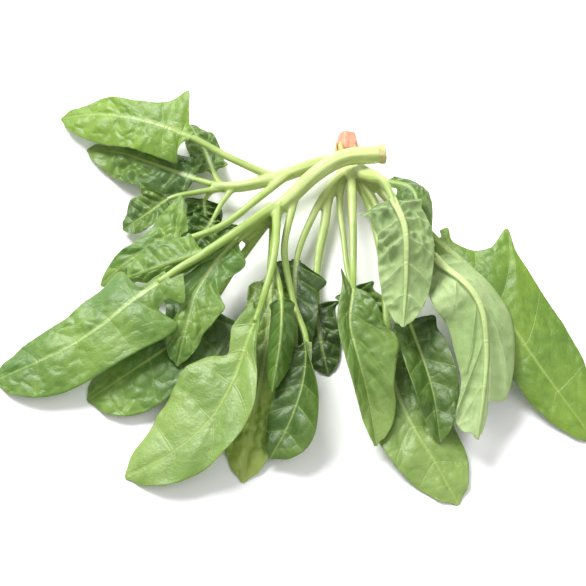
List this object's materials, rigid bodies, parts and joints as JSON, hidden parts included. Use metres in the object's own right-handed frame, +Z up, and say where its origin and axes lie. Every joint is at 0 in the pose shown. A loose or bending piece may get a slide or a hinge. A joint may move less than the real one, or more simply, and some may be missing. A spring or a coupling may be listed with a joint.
{
  "type": "spinach bunch",
  "caption": "Fresh spinach bunch lying flat: two cut plants whose long petioles fan out from a pink root crown to waved leaf blades.",
  "frame": {"origin": "on the table under the middle of the red root crown, at the centre of the small flat it lies on", "axes": "+X from the tip of the large leaf on the left to the large leaf on the right, +Y away from the leaves towards the crown's cut side, +Z up from the table"},
  "size_m": [0.3558, 0.2722, 0.0635],
  "materials": {
    "blade_green": "satin, waxy leaf",
    "blade_pale": "matt leaf underside",
    "stalk_green": "smooth juicy stalk",
    "crown_pink": "matt root skin"
  },
  "bodies": {
    "root": {"crown_red": "crown_pink", "cut_end_pale": "crown_pink", "stalk_red_plant": "stalk_green", "stalk_pale_plant": "stalk_green", "blade_shade_low": "blade_green", "blade_shade_mid": "blade_green", "blade_top_behind": "blade_green", "blade_top_under": "blade_green", "blade_left_tuft": "blade_green", "blade_left_shade": "blade_green", "blade_left_small": "blade_green", "blade_left_upper": "blade_green", "blade_top_large": "blade_green", "blade_middle_crisp": "blade_green", "blade_right_bottom": "blade_green", "blade_right_dark": "blade_green", "blade_middle_folded": "blade_green", "blade_right_large": "blade_green", "blade_right_underside": "blade_pale", "blade_right_crisp": "blade_green", "blade_right_pointed": "blade_pale", "blade_left_grooved": "blade_green", "blade_left_round": "blade_green", "blade_low_yellow": "blade_green", "blade_left_arrow": "blade_green", "blade_left_large": "blade_green", "blade_low_dark": "blade_green", "blade_low_narrow": "blade_green", "blade_low_large": "blade_green"}
  },
  "joints": []
}
